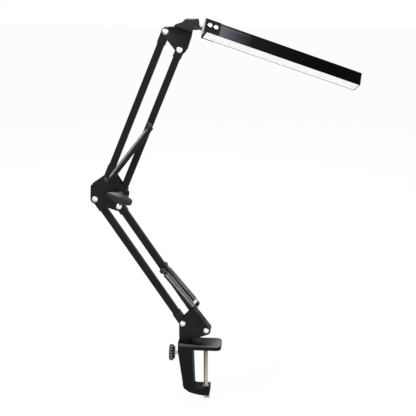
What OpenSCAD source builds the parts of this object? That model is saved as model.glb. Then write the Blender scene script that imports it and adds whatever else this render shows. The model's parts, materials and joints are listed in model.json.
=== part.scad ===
// Clamp-on swing-arm lamp with a straight LED head.
// Millimetres, +Z up. The origin is on the underside of the clamp's upper jaw, on the screw's axis.
// The arms move in the X-Z plane, their pins run along Y, and +X points to the clamp's open end.

/* [Clamp] */
// Height of the throat between the jaws
throat_h = 57; // [48:0.1:70]
// Height of the upper jaw at its open end
plate_t = 6.6; // [5:0.1:9]
// Extra height of the upper jaw over the post
plate_rise = 2.6; // [1:0.1:4]
// Depth of the upper jaw along the pins
plate_d = 30; // [26:0.5:60]
// Depth of the lower jaw along the pins
jaw_d = 22; // [18:0.5:30]
// Reach of the upper jaw from the screw to its open end
plate_reach = 21.2; // [14:0.1:40]
// Corner radius of the upper jaw, seen from above
plate_r = 7; // [4:0.5:12]
// Height of the lower jaw
jaw_t = 10; // [9:0.1:16]
// Reach of the lower jaw past the screw
jaw_reach = 5.8; // [5.6:0.1:9]
// Thickness of the web at the upper jaw
web_top_w = 19; // [17:0.1:26]
// Thickness of the web at the lower jaw
web_low_w = 14; // [9:0.1:16]
// Distance from the screw to the post
post_reach = 27; // [26:0.1:34]

/* [Clamp screw] */
// Diameter of the screw
screw_d = 6; // [5:0.5:6.5]
// Pitch of the screw's thread
screw_pitch = 1; // [0.8:0.05:1.5]
// Length of screw that shows under the lower jaw
screw_below = 7.4; // [7:0.1:16]
// Diameter of the pressure pad
pad_d = 12; // [9:0.5:20]
// Height of the pressure pad
pad_t = 2.2; // [2:0.1:5]
// Clear height over the pressure pad when the screw is turned in
pad_rest = 2.2; // [2.2:0.1:8]
// Length of the tommy bar
tommy_len = 52; // [30:1:70]
// Diameter of the tommy bar
tommy_d = 2.4; // [1.6:0.1:3]
// Direction of the tommy bar, counted from +X
tommy_angle = 139; // [0:1:180]

/* [Post and lock] */
// Diameter of the post
post_d = 10; // [8:0.1:11]
// Depth of the post below the top of its boss
post_depth = 28; // [22:0.5:29]
// Wall of the post's bush
bush_wall = 1; // [0.8:0.1:1.2]
// Height of the boss under the base bracket
boss_h = 0.4; // [0.4:0.1:2]
// Diameter of the lock knob
lock_d = 22; // [14:0.5:26]
// Thickness of the lock knob
lock_t = 7; // [4:0.1:10]
// Diameter of the lock stud
lock_stud_d = 5; // [4:0.1:6]
// Depth of the lock stud below the upper jaw's underside
lock_drop = 10; // [8:0.1:14]

/* [Arms] */
// Distance between the pins of a tube
arm_len = 203.3; // [160:0.5:300]
// Lean of the lower arm away from the open end
lower_lean = 33.9; // [15:0.5:45]
// Lean of the upper arm towards the open end
upper_lean = 22.5; // [0:0.5:50]
// Width of a square tube
bar_w = 8.8; // [7.5:0.1:9]
// Wall of a square tube
bar_wall = 1; // [0.6:0.1:1.6]
// Corner radius of a square tube
bar_r = 1; // [0.4:0.1:1.2]
// Width of an end sleeve across the tube
sleeve_w = 10.6; // [9.8:0.1:10.8]
// Width of an end sleeve along the pins
sleeve_d = 10.4; // [9.8:0.1:12]
// Length of a left tube's end sleeve past its pin
sleeve_len = 17; // [14:0.5:24]
// Length of a right tube's end sleeve past its pin
short_len = 11; // [10:0.5:24]

/* [Links] */
// Distance between the pins of the base and of the lower half of the elbow
lower_link = 32.7; // [31:0.1:38]
// Angle of that line below the horizontal
lower_drop = 16.3; // [12:0.1:20]
// Distance between the pins of the head bracket and of the upper half of the elbow
upper_link = 28.3; // [27:0.1:32]
// Angle of that line below the horizontal
upper_drop = 52.2; // [48:0.1:56]
// Shift of the elbow's upper pin from its lower pin, along X
elbow_x = 16.5; // [14:0.1:18]
// Shift of the elbow's upper pin from its lower pin, along Z
elbow_z = 27.9; // [26:0.1:32]
// Height of the base's left pin above the bracket's floor
base_pin_z = 23.4; // [22:0.1:30]
// Shift of the base's left pin from the post
base_pin_x = -3.1; // [-4:0.1:0]
// Thickness of the brackets' sheet steel
sheet_t = 1.6; // [1.2:0.1:2]

/* [Pins] */
// Diameter of a pivot pin
pin_d = 5; // [4:0.1:5.6]
// Diameter of a pin cap
cap_d = 8.4; // [7.5:0.1:10]
// Height of a pin cap
cap_h = 2.3; // [1.6:0.1:3]
// Diameter of the spring studs and anchors
stud_d = 3.2; // [2.6:0.1:3.6]
// Diameter of the anchors' heads
anchor_head_d = 8; // [6:0.1:9]

/* [Springs] */
// Outer diameter of a spring
spring_d = 8; // [6:0.1:8.4]
// Diameter of the spring's wire
wire_d = 1.1; // [0.8:0.05:1.2]
// Number of curls in a spring
curls = 20; // [14:1:22]
// Distance of a spring's axis from the arms' middle plane
spring_y = 11.8; // [11.6:0.1:12.2]
// Shift of the upper springs' axes from their pins
upper_spring_shift = 3.6; // [3.2:0.1:4.2]

/* [Knob] */
// Length of the wing knob
wing_len = 34; // [26:0.5:38]
// Height of the wing knob across its length
wing_w = 13.4; // [11:0.1:15]
// Angle of the wing knob below the horizontal
wing_drop = 21; // [0:1:60]

/* [Head bracket] */
// Shift of the tilt pin from the bracket's left pin, along X
neck_x = 37.5; // [36:0.1:48]
// Shift of the tilt pin from the bracket's left pin, along Z
neck_z = 5.6; // [5:0.1:8]
// Height of the neck's side walls
neck_h = 13; // [11:0.1:14]

/* [Head] */
// Length of the head
head_len = 215; // [150:1:320]
// Width and height of the housing
head_w = 18; // [16:0.1:21]
// Wall of the housing
head_wall = 1; // [0.8:0.1:1.6]
// Slope of the head below the horizontal
head_tilt = 20.2; // [10:0.1:40]
// Swing of the head out of the arms' plane
head_swing = 14.7; // [-15:0.1:20]
// Roll of the head about its length
head_roll = 38; // [0:1:60]
// Distance of the sleeve cover's right end from the end plate
cover_len = 18.8; // [18:0.1:40]
// Overhang of the sleeve cover's front past the left end cap
hood = 4.3; // [0:0.1:4.4]
// Thickness of the sleeve cover
cover_t = 0.6; // [0.5:0.1:1.2]
// Thickness of the diffuser
diffuser_t = 2; // [1.2:0.1:3]
// Number of LED chips
chips = 30; // [6:1:36]

/* [Hidden] */
$fn = 48;

// Running clearance of a shaft in its hole, on the radius
run = 0.05;
// Clear space between pieces that pass each other
gap = 0.3;
// Overrun of a cut past the face that it opens
over = 1;
// Steps of a rounded corner
corner_steps = 6;

// Clamp frame: walls, slopes, corners and the outline of the lower jaw
post_wall = 9.6;
slope_end = 6;
throat_slope = 2.3;
left_r = 4;
edge_r = 1.6;
throat_r = 2.5;
heel_r = 4;
jaw_shares = [[0.21, 0.57], [0.36, 0.74], [0.62, 0.94], [0.82, 1]];
jaw_end_share = 0.9;
lip_w = 1.2;
lip_h = 0.8;
boss_r = 9;

// Clamp screw: its bush, its tip and the tommy bar's caps
thread_wall = 1.4;
tip_share = 0.66;
tip_h = 1.6;
tommy_share = 0.65;
stop_len = 2.4;
stop_wall = 0.8;

// Post: its flange and the rivet through the bracket's floor
post_end = 1;
flange_d = 16;
flange_t = 1;
rivet_d = 6;
rivet_head_d = 9.4;
rivet_head_t = 1;

// Lock knob: distance from the frame, teeth and bevel
lock_gap = 5.4;
teeth = 16;
tooth_h = 1.1;
bevel_share = 0.3;

// Brackets: discs around the pins, then places counted from a pin with a radius
eye_f = 5;
eye_g = 5.8;
base_top = [14.6, 20.3, 1.5];
base_stud = [18.2, 22.6, 2.2];
foot_left = 3.5;
foot_right = 9.1;
foot_r = 1.5;
eye_c = 6.2;
eye_d = 6.6;
eye_e = 4.6;
eye_k = 9;
elbow_ear = [8.5, 3.2, 2.5];
elbow_heel = [-3.5, 17.1, 2];
eye_a = 5;
eye_b = 6;
eye_b_shift = 1.5;
head_mid = [26.5, -6.5, 5];
head_top = [13, 1.5, 3.8];
fold_top = [30.7, -6];
fold_low = [25.9, -21.6];

// Neck of the head bracket, counted from the tilt pin
neck_end = 4.2;
neck_below = 3.5;
neck_left = 26.5;
neck_left_z = 2.3;
neck_mid = 12.2;
neck_rise_x = 13.1;
neck_kink = [17.5, 5.2];
neck_slant = 1.5;
neck_foot = 4.5;
neck_r = 2;
roof_end = 0.5;

// Pins, caps and studs
cap_rim = 0.6;
pin_tail = 1.2;
collar_d = 5;
stud_head_d = 4.4;
stud_head_t = 0.8;
anchor_head_t = 1.6;

// Springs: rings of a curl, of a hook and of the way between them
curl_rings = 8;
hook_rings = 7;
lead_rings = 4;
hook_turn = 240;
run_in = 4.2;
lead = 3.4;
wire_sides = 6;

// Start of a tube after its pin
tube_start = 7;

// Wing knob, its insert and its bolt
hub_d = 12;
hub_h = 9.1;
wing_t = 6.6;
wing_tip_r = 3;
wing_end_r = 4.6;
wing_shift = 0.9;
insert_d = 8;
insert_h = 6.6;
bolt_head_d = 11;
bolt_head_t = 2.6;

// Head joint
tilt_pin_d = 3;
tilt_head_d = 4.8;
tilt_head_t = 0.8;
knuckle_d = 5.8;
tongue_x = 5.2;
tongue_r = 2.5;
tongue_t = 3;
swing_pin_d = 2.2;
swing_head_d = 4;
swing_head_t = 0.6;
ear_gap = 0.15;
plate_x = 3.9;
plate_rise_z = 1.6;
plate_sheet = 1.2;
plate_share = 0.88;
roll_pin_d = 3;
roll_head_d = 4.6;
roll_head_t = 0.8;

// Head
housing_r = 0.8;
left_cap_t = 2;
right_cap_t = 1.2;
plug_len = 4;
shelf_z = 4;
shelf_t = 1.2;
board_t = 1.2;
board_w = 13;
board_end = 3;
chip_w = 2.8;
chip_len = 3.5;
chip_t = 0.8;
chip_margin = 9;
groove_z = 7;
groove_w = 0.5;
groove_depth = 0.3;
screw_places = [5.3, 13.4];
screw_rise = 1.3;
cover_screw_d = 3;
cover_screw_in = 2.4;
cover_head_d = 6;
cover_head_t = 1.5;
grommet_gap = 6;
grommet_d = 7;
grommet_neck_d = 5;
grommet_hole_d = 3.4;
grommet_lip = 1.2;

// Places that follow from the sizes above
function dir(a) = [cos(a), sin(a)];
plate_left = post_reach + post_wall;
boss_z = plate_t + plate_rise + boss_h;
floor_z = boss_z + gap + flange_t;
web_in = web_top_w - plate_left;
low_in = web_in + throat_slope;
low_out = low_in - web_low_w;
jaw_z = -throat_h - jaw_t;
screw_r = screw_d / 2;
thread_r = screw_r + thread_wall;
bush_r = post_d / 2 + run + bush_wall;
tommy_z = jaw_z - screw_below * tommy_share;
tommy_short = screw_r + stop_len + 2 * gap;
lower_a = 90 + lower_lean;
upper_a = 90 - upper_lean;
pin_f = [base_pin_x - post_reach, floor_z + base_pin_z];
pin_g = pin_f + lower_link * dir(-lower_drop);
pin_c = pin_f + arm_len * dir(lower_a);
pin_n = pin_g + arm_len * dir(lower_a);
pin_e = pin_c + [elbow_x, elbow_z];
pin_k = pin_e + upper_link * dir(-upper_drop);
pin_a = pin_e + arm_len * dir(upper_a);
pin_b = pin_k + arm_len * dir(upper_a);
pin_t = pin_a + [neck_x, neck_z];
stud_s = pin_f + [base_stud[0], base_stud[1]];
lower_anchor = (pin_g + pin_n) / 2;
upper_anchor = (pin_k + pin_b) / 2;

// Layers along the pins, counted from the arms' middle plane
cheek_in = sleeve_d / 2 + gap;
cheek_out = cheek_in + sheet_t;
hook_in = spring_y - wire_d / 2 - gap;
hook_out = spring_y + wire_d / 2 + gap;
knob_y = cheek_out + gap;
wing_y = knob_y + hub_h;

// Outline with rounded corners: each point is [x, y, radius]
function flat(p) = [p[0], p[1]];
function unit(v) = v / norm(v);
function turn(d) = d > 180 ? d - 360 : d < -180 ? d + 360 : d;
function corner(p, a, b, r) =
    let (u = unit(a - p), v = unit(b - p), half = acos(u * v) / 2)
    let (c = p + unit(u + v) * r / sin(half))
    let (s = p + u * r / tan(half) - c, e = p + v * r / tan(half) - c)
    let (a1 = atan2(s[1], s[0]), d = turn(atan2(e[1], e[0]) - a1))
    [for (i = [0:corner_steps]) c + r * dir(a1 + d * i / corner_steps)];
function outline(pts) = [
    for (i = [0:len(pts) - 1])
        let (n = len(pts), p = pts[i], a = pts[(i + n - 1) % n], b = pts[(i + 1) % n])
        each (p[2] > 0 ? corner(flat(p), flat(a), flat(b), p[2]) : [flat(p)])
];

// Outline stretched around discs: each disc is [x, y, radius], in counter-clockwise order
function touch(p, q) =
    let (d = flat(q) - flat(p))
    atan2(d[1], d[0]) - acos((p[2] - q[2]) / norm(d));
function wrap(discs) = [
    for (i = [0:len(discs) - 1])
        let (n = len(discs), c = discs[i])
        let (a = touch(discs[(i + n - 1) % n], c), d = (touch(c, discs[(i + 1) % n]) - a + 720) % 360)
        for (k = [0:corner_steps]) flat(c) + c[2] * dir(a + d * k / corner_steps)
];
function disc(p, r) = [p[0], p[1], r];
function place(p, d) = [p[0] + d[0], p[1] + d[1], d[2]];
function square_of(w, h, r) =
    [for (s = [[1, -1], [1, 1], [-1, 1], [-1, -1]]) [s[0] * w / 2, s[1] * h / 2, r]];

// Frames and simple solids
module slab(y0, y1)
    translate([0, y1, 0]) rotate([90, 0, 0]) linear_extrude(height = y1 - y0) children();
module along(x0, x1)
    translate([x0, 0, 0]) rotate([90, 0, 90]) linear_extrude(height = x1 - x0) children();
module across(d, y0, y1)
    translate([0, y1, 0]) rotate([90, 0, 0]) cylinder(d = d, h = y1 - y0);
module at(p, a = 0)
    translate([p[0], 0, p[1]]) rotate([0, -a, 0]) children();
module both_sides() {
    children();
    mirror([0, 1, 0]) children();
}

// Clamp
module clamp_frame() {
    body = [
        [plate_reach, 0, edge_r / 2],
        [plate_reach, plate_t, edge_r],
        [-slope_end, plate_t, 0],
        [-plate_left, plate_t + plate_rise, edge_r],
        [-plate_left, 0, 0],
        [low_out, -throat_h, heel_r],
        for (s = jaw_shares) [low_out + s[0] * (jaw_reach - low_out), -throat_h - s[1] * jaw_t, 0],
        [jaw_reach, -throat_h - jaw_end_share * jaw_t, edge_r / 2],
        [jaw_reach, lip_h - throat_h, 0],
        [jaw_reach - lip_w, lip_h - throat_h, 0],
        [jaw_reach - lip_w, -throat_h, 0],
        [low_in, -throat_h, throat_r],
        [web_in, 0, throat_r]
    ];
    plan = [
        [-plate_left, -plate_d / 2, left_r],
        [plate_reach, -plate_d / 2, plate_r],
        [plate_reach, plate_d / 2, plate_r],
        [-plate_left, plate_d / 2, left_r]
    ];
    side = [
        [-plate_d / 2, 0],
        [-jaw_d / 2, -throat_h],
        [-jaw_d / 2, jaw_z - over],
        [jaw_d / 2, jaw_z - over],
        [jaw_d / 2, -throat_h],
        [plate_d / 2, 0]
    ];
    color("#1b1b1c") difference() {
        union() {
            intersection() {
                slab(-plate_d, plate_d) polygon(outline(body));
                union() {
                    linear_extrude(height = boss_z) polygon(outline(plan));
                    along(-plate_left, plate_reach) polygon(side);
                }
            }
            translate([-post_reach, 0, plate_t / 2]) cylinder(r = boss_r, h = boss_z - plate_t / 2);
        }
        translate([-post_reach, 0, boss_z - post_depth]) cylinder(r = bush_r, h = post_depth + over);
        translate([0, 0, jaw_z - over]) cylinder(r = thread_r, h = jaw_t + 2 * over);
        translate([-plate_left - over, 0, -lock_drop]) rotate([0, 90, 0])
            cylinder(d = lock_stud_d + 2 * run, h = plate_left + over - post_reach);
    }
}

module post_bush() {
    color("#e8e4da") translate([-post_reach, 0, boss_z - post_depth]) difference() {
        cylinder(r = bush_r, h = post_depth);
        translate([0, 0, -over]) cylinder(r = post_d / 2 + run, h = post_depth + 2 * over);
        translate([-post_d, 0, post_depth - boss_z - lock_drop]) rotate([0, 90, 0])
            cylinder(d = lock_stud_d + 2 * run, h = post_d);
    }
}

module threaded_bush() {
    h = jaw_end_share * jaw_t;
    color("#9a9a98") translate([0, 0, -throat_h - h]) difference() {
        cylinder(r = thread_r, h = h);
        translate([0, 0, -over]) cylinder(r = screw_r + run, h = h + 2 * over);
    }
}

module clamp_screw() {
    low = jaw_z - screw_below;
    shoulder = -pad_rest - gap - pad_t;
    color("#b8b8b6") difference() {
        union() {
            translate([0, 0, low]) cylinder(r = screw_r, h = shoulder - low);
            translate([0, 0, low]) cylinder(r = screw_r * tip_share, h = shoulder + tip_h - low);
        }
        translate([0, 0, tommy_z]) rotate([0, 90, tommy_angle])
            cylinder(d = tommy_d, h = 2 * screw_d, center = true);
    }
}

module pressure_pad() {
    color("#222222") translate([0, 0, -pad_rest - pad_t]) difference() {
        cylinder(d = pad_d, h = pad_t);
        translate([0, 0, -over]) cylinder(r = screw_r * tip_share + run, h = over + tip_h);
    }
}

module at_tommy()
    translate([0, 0, tommy_z]) rotate([0, 90, tommy_angle]) translate([0, 0, -tommy_short]) children();

module tommy_bar() {
    color("#b8b8b6") at_tommy() cylinder(d = tommy_d, h = tommy_len);
}

module tommy_caps() {
    color("#b8b8b6") at_tommy() for (z = [0, tommy_len - stop_len]) translate([0, 0, z]) difference() {
        cylinder(d = tommy_d + 2 * stop_wall, h = stop_len);
        translate([0, 0, -over]) cylinder(d = tommy_d, h = stop_len + 2 * over);
    }
}

module lock_stud() {
    tip = post_reach + post_d / 2 + gap;
    color("#b8b8b6") translate([-tip, 0, -lock_drop]) rotate([0, -90, 0])
        cylinder(d = lock_stud_d, h = plate_left + lock_gap + lock_t / 2 - tip);
}

module lock_knob() {
    bevel = lock_t * bevel_share;
    ring = [for (i = [0:2 * teeth - 1]) (lock_d / 2 - (i % 2) * tooth_h) * dir(180 * i / teeth)];
    color("#333333") translate([-plate_left - lock_gap, 0, -lock_drop]) rotate([0, -90, 0]) difference() {
        union() {
            translate([0, 0, bevel]) linear_extrude(height = lock_t - bevel) polygon(ring);
            cylinder(d = lock_d - 2 * bevel, h = lock_t / 2);
        }
        translate([0, 0, -over]) cylinder(d = lock_stud_d, h = over + lock_t / 2);
    }
}

// Pins, caps and studs
module pins(places)
    for (p = places) at(p) across(pin_d, -cheek_out - pin_tail, cheek_out + pin_tail);

module caps(places) {
    dome = cap_h - cap_rim;
    dome_r = (cap_d * cap_d / 4 + dome * dome) / (2 * dome);
    for (p = places) at(p) both_sides() translate([0, cheek_out, 0]) rotate([-90, 0, 0]) difference() {
        intersection() {
            cylinder(d = cap_d, h = cap_h);
            translate([0, 0, cap_h - dome_r]) sphere(r = dome_r);
        }
        translate([0, 0, -over]) cylinder(d = pin_d, h = over + pin_tail);
    }
}

module anchor(p) {
    end = hook_out + anchor_head_t;
    at(p) union() {
        across(stud_d, -end, end);
        both_sides() across(anchor_head_d, hook_out, end);
        both_sides() across(collar_d, sleeve_d / 2 - run, hook_in);
    }
}

// Base, turning in the clamp
module base_post() {
    low = boss_z - post_depth + post_end;
    color("#b8b8b6") translate([-post_reach, 0, 0]) union() {
        translate([0, 0, low]) cylinder(d = post_d, h = floor_z - low);
        translate([0, 0, boss_z + gap]) cylinder(d = flange_d, h = flange_t);
        translate([0, 0, low]) cylinder(d = rivet_d, h = floor_z + sheet_t + rivet_head_t - low);
        translate([0, 0, floor_z + sheet_t]) cylinder(d = rivet_head_d, h = rivet_head_t);
    }
}

module base_bracket() {
    foot_z = floor_z + foot_r;
    cheek = [
        [pin_f[0] - foot_left, foot_z, foot_r],
        [foot_right + pin_f[0], foot_z, foot_r],
        disc(pin_g, eye_g),
        place(pin_f, base_top),
        disc(pin_f, eye_f)
    ];
    ear = [place(pin_f, base_stud), place(pin_f, base_top)];
    channel = [
        [-cheek_out, floor_z, sheet_t],
        [cheek_out, floor_z, sheet_t],
        [cheek_out, pin_f[1] + 2 * lower_link, 0],
        [cheek_in, pin_f[1] + 2 * lower_link, 0],
        [cheek_in, floor_z + sheet_t, 0],
        [-cheek_in, floor_z + sheet_t, 0],
        [-cheek_in, pin_f[1] + 2 * lower_link, 0],
        [-cheek_out, pin_f[1] + 2 * lower_link, 0]
    ];
    color("#202021") difference() {
        intersection() {
            slab(-spring_y, spring_y) union() {
                polygon(wrap(cheek));
                polygon(wrap(ear));
            }
            along(-post_reach - lower_link, lower_link) polygon(outline(channel));
        }
        for (p = [pin_f, pin_g]) at(p) across(pin_d, -spring_y, spring_y);
        at(stud_s) across(stud_d, -spring_y, spring_y);
        translate([-post_reach, 0, floor_z - over]) cylinder(d = rivet_d, h = sheet_t + 2 * over);
    }
}

module base_pins() {
    color("#8c8c8a") pins([pin_f, pin_g]);
}

module base_pin_caps() {
    color("#d8d8d6") caps([pin_f, pin_g]);
}

module base_spring_studs() {
    color("#3a3a3a") at(stud_s) both_sides() union() {
        across(stud_d, cheek_in, hook_out + stud_head_t);
        across(collar_d, cheek_out, hook_in);
        across(stud_head_d, hook_out, hook_out + stud_head_t);
    }
}

// Tubes and sleeves
module tube(p, a, bore_at = 0) {
    color("#1c1c1d") at(p, a) difference() {
        along(tube_start, arm_len - tube_start) polygon(outline(square_of(bar_w, bar_w, bar_r)));
        along(tube_start - over, arm_len - tube_start + over)
            polygon(outline(square_of(bar_w - 2 * bar_wall, bar_w - 2 * bar_wall, bar_r / 2)));
        if (bore_at > 0) translate([bore_at, 0, 0]) across(stud_d, -bar_w, bar_w);
    }
}

module sleeve(reach) {
    difference() {
        union() {
            across(sleeve_w, -sleeve_d / 2, sleeve_d / 2);
            along(0, reach) polygon(outline(square_of(sleeve_d, sleeve_w, bar_r)));
        }
        across(pin_d + 2 * run, -sleeve_d, sleeve_d);
        along(tube_start, reach + over) polygon(outline(square_of(bar_w, bar_w, bar_r)));
    }
}

module sleeves(p, a, reach) {
    color("#161616") {
        at(p, a) sleeve(reach);
        at(p + arm_len * dir(a), a + 180) sleeve(reach);
    }
}

module lower_left_tube() tube(pin_f, lower_a);
module lower_left_sleeves() sleeves(pin_f, lower_a, sleeve_len);
module lower_right_tube() tube(pin_g, lower_a, arm_len / 2);
module lower_right_sleeves() sleeves(pin_g, lower_a, short_len);
module upper_left_tube() tube(pin_e, upper_a);
module upper_left_sleeves() sleeves(pin_e, upper_a, sleeve_len);
module upper_right_tube() tube(pin_k, upper_a, arm_len / 2);
module upper_right_sleeves() sleeves(pin_k, upper_a, short_len);

module lower_anchor_pin() {
    color("#2a2a2a") anchor(lower_anchor);
}

module upper_anchor_pin() {
    color("#2a2a2a") anchor(upper_anchor);
}

// Elbow
module elbow_plate() {
    plate = [
        disc(pin_c, eye_c),
        disc(pin_n, eye_d),
        disc(pin_k, eye_k),
        place(pin_e, elbow_ear),
        disc(pin_e, eye_e),
        place(pin_c, elbow_heel)
    ];
    difference() {
        slab(cheek_in, cheek_out) polygon(wrap(plate));
        for (p = [pin_c, pin_n, pin_e, pin_k]) at(p) across(pin_d, 0, spring_y);
    }
}

module elbow_near_plate() {
    color("#202021") mirror([0, 1, 0]) elbow_plate();
}

module elbow_far_plate() {
    color("#202021") elbow_plate();
}

module elbow_pins() {
    color("#8c8c8a") pins([pin_c, pin_n]);
}

module elbow_pin_caps() {
    color("#d8d8d6") caps([pin_c, pin_n]);
}

module elbow_spring_pin() {
    end = hook_out + stud_head_t;
    color("#3a3a3a") at(pin_e) union() {
        across(pin_d, -hook_in, hook_in);
        across(stud_d, -end, end);
        both_sides() across(stud_head_d, hook_out, end);
    }
}

module knob_bolt() {
    color("#8c8c8a") at(pin_k) union() {
        across(pin_d, -knob_y - insert_h, cheek_out + bolt_head_t);
        across(bolt_head_d, cheek_out, cheek_out + bolt_head_t);
    }
}

module wing_knob() {
    wing = [
        [wing_tip_r - wing_len / 2 + wing_shift, 0, wing_tip_r],
        [0, 0, wing_w / 2],
        [wing_len / 2 - wing_end_r + wing_shift, 0, wing_end_r],
        [0, 0, wing_w / 2]
    ];
    color("#4a4a4c") at(pin_k, -wing_drop) difference() {
        union() {
            across(hub_d, -wing_y - wing_t / 2, -knob_y);
            slab(-wing_y - wing_t, -wing_y) polygon(wrap(wing));
        }
        across(insert_d, -knob_y - insert_h, over - knob_y);
    }
}

module knob_insert() {
    color("#b8964a") at(pin_k) difference() {
        across(insert_d, -knob_y - insert_h, -knob_y);
        across(pin_d + 2 * run, -knob_y - insert_h - over, over - knob_y);
    }
}

// Springs: each ring has its middle point and its outward direction
hook_r = stud_d / 2 + gap + wire_d / 2;
curl_r = (spring_d - wire_d) / 2;
function spring_pitch(l) = (l - 2 * run_in - lead) / curls;
function spring_end(shift, pitch) =
    let (v = shift - hook_r, s = v > 0 ? -1 : 1, start = v > 0 ? 0 : 180, a0 = 270 - hook_turn)
    concat(
        [[[hook_r * cos(a0) + wire_d * sin(a0), 0, shift + hook_r * sin(a0) - wire_d * cos(a0)],
            s * [cos(a0), 0, sin(a0)]]],
        [for (i = [0:hook_rings])
            let (a = a0 + hook_turn * i / hook_rings)
            [[hook_r * cos(a), 0, shift + hook_r * sin(a)], s * [cos(a), 0, sin(a)]]],
        [for (i = [0:lead_rings - 1])
            let (k = i / lead_rings, a = start + 90 * k * k, r = abs(v) + (curl_r - abs(v)) * k)
            [[run_in + lead * (k - k * k / 2) + pitch * k * k / 4, r * sin(a), r * cos(a)],
                [0, sin(a), cos(a)]]]
    );
function spring_curls(l, shift, pitch) =
    let (start = shift > hook_r ? 90 : 270, n = (curls - 1 / 2) * curl_rings)
    let (u = run_in + lead / 2 + pitch / 4)
    [for (i = [0:n])
        let (a = start + 360 * i / curl_rings)
        [[u + (l - 2 * u) * i / n, curl_r * sin(a), curl_r * cos(a)], [0, sin(a), cos(a)]]];
function turned(rings, l) = [
    for (i = [len(rings) - 1:-1:0])
        let (p = rings[i][0], d = rings[i][1])
        [[l - p[0], -p[1], p[2]], [-d[0], -d[1], d[2]]]
];
function spring_rings(l, shift) =
    let (pitch = spring_pitch(l), e = spring_end(shift, pitch))
    concat(e, spring_curls(l, shift, pitch), turned(e, l));
function wire_points(rings) = [
    for (i = [0:len(rings) - 1])
        let (p = rings[i][0], n = len(rings) - 1)
        let (t = unit(rings[min(i + 1, n)][0] - rings[max(i - 1, 0)][0]))
        let (b = unit(cross(t, rings[i][1])), d = cross(b, t))
        for (k = [0:wire_sides - 1])
            p + wire_d / 2 * (d * cos(360 * k / wire_sides) + b * sin(360 * k / wire_sides))
];
function wire_faces(n) = concat(
    [[for (k = [0:wire_sides - 1]) k]],
    [for (i = [0:n - 2], k = [0:wire_sides - 1])
        let (m = (k + 1) % wire_sides, j = i * wire_sides, n = j + wire_sides)
        each [[j + k, n + k, n + m], [j + k, n + m, j + m]]],
    [[for (k = [wire_sides - 1:-1:0]) (n - 1) * wire_sides + k]]
);
module spring(p, q, shift, side) {
    d = q - p;
    rings = spring_rings(norm(d), shift);
    color("#4c4c4e") translate([0, side * spring_y, 0]) at(p, atan2(d[1], d[0])) translate([0, 0, -shift])
        polyhedron(points = wire_points(rings), faces = wire_faces(len(rings)), convexity = 4);
}
function least(rings) = min([
    for (i = [0:len(rings) - 1], j = [i + curl_rings / 2:1:len(rings) - 1])
        norm(rings[i][0] - rings[j][0])
]) - wire_d;
echo(lower_spring_gap = least(spring_rings(norm(lower_anchor - stud_s), 0)));
echo(upper_spring_gap = least(spring_rings(norm(upper_anchor - pin_e), upper_spring_shift)));

module lower_spring_near() spring(stud_s, lower_anchor, 0, -1);
module lower_spring_far() spring(stud_s, lower_anchor, 0, 1);
module upper_spring_near() spring(pin_e, upper_anchor, upper_spring_shift, -1);
module upper_spring_far() spring(pin_e, upper_anchor, upper_spring_shift, 1);

// Head bracket
module head_bracket() {
    roof_z = pin_t[1] + neck_h - neck_below;
    cheek = [
        disc(pin_a, eye_a),
        disc(pin_b + [eye_b_shift, 0], eye_b),
        place(pin_a, head_mid),
        place(pin_a, head_top)
    ];
    neck = [
        [pin_t[0] - neck_left, pin_t[1] + neck_left_z, 0],
        [pin_t[0] - neck_left, pin_a[1], 0],
        [pin_t[0] - neck_mid, pin_b[1] + upper_link / 2, 0],
        [pin_a[0] + fold_top[0] + sheet_t / 2, pin_a[1] + fold_top[1], 0],
        [pin_t[0] - neck_foot, pin_t[1] - neck_below, neck_r],
        [pin_t[0] + neck_end, pin_t[1] - neck_below, neck_r],
        [pin_t[0] + neck_end - neck_slant, roof_z, neck_r],
        [pin_t[0] - neck_rise_x, roof_z, 0],
        [pin_t[0] - neck_kink[0], pin_t[1] + neck_kink[1], 0]
    ];
    kink = [pin_t[0] - neck_kink[0], pin_t[1] + neck_kink[1]];
    roof = [
        kink - [0, sheet_t],
        [pin_t[0] - neck_rise_x, roof_z - sheet_t],
        [pin_t[0] + roof_end, roof_z - sheet_t],
        [pin_t[0] + roof_end, roof_z],
        [pin_t[0] - neck_rise_x, roof_z],
        kink
    ];
    fold = [for (p = [fold_top, fold_low]) disc(pin_a + p, sheet_t / 2)];
    color("#202021") difference() {
        union() {
            both_sides() slab(cheek_in, cheek_out) union() {
                polygon(wrap(cheek));
                polygon(outline(neck));
            }
            slab(-cheek_out, cheek_out) polygon(roof);
            slab(-cheek_out, cheek_out) polygon(wrap(fold));
        }
        for (p = [pin_a, pin_b]) at(p) across(pin_d, -spring_y, spring_y);
        at(pin_t) across(tilt_pin_d, -spring_y, spring_y);
    }
}

module head_pins() {
    color("#8c8c8a") pins([pin_a, pin_b]);
}

module head_pin_caps() {
    color("#d8d8d6") caps([pin_a, pin_b]);
}

module tilt_pin() {
    end = cheek_out + tilt_head_t;
    color("#8c8c8a") at(pin_t) union() {
        across(tilt_pin_d, -end, end);
        both_sides() across(tilt_head_d, cheek_out, end);
    }
}

// Head joint: tilt about the tilt pin, swing about the swing pin, roll about the head's length
module at_tilt() at(pin_t, -head_tilt) children();
module at_swing() at_tilt() translate([tongue_x, 0, 0]) rotate([0, 0, head_swing]) children();
module at_head() at_swing() translate([plate_x, 0, plate_rise_z]) rotate([-head_roll, 0, 0]) children();

module knuckle() {
    color("#2a2a2b") at_tilt() difference() {
        union() {
            across(knuckle_d, -sleeve_d / 2, sleeve_d / 2);
            translate([0, -tongue_r, -tongue_t / 2]) cube([tongue_x, 2 * tongue_r, tongue_t]);
            translate([tongue_x, 0, -tongue_t / 2]) cylinder(r = tongue_r, h = tongue_t);
        }
        across(tilt_pin_d + 2 * run, -sleeve_d, sleeve_d);
        translate([tongue_x, 0, -tongue_t]) cylinder(d = swing_pin_d + 2 * run, h = 2 * tongue_t);
    }
}

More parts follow.
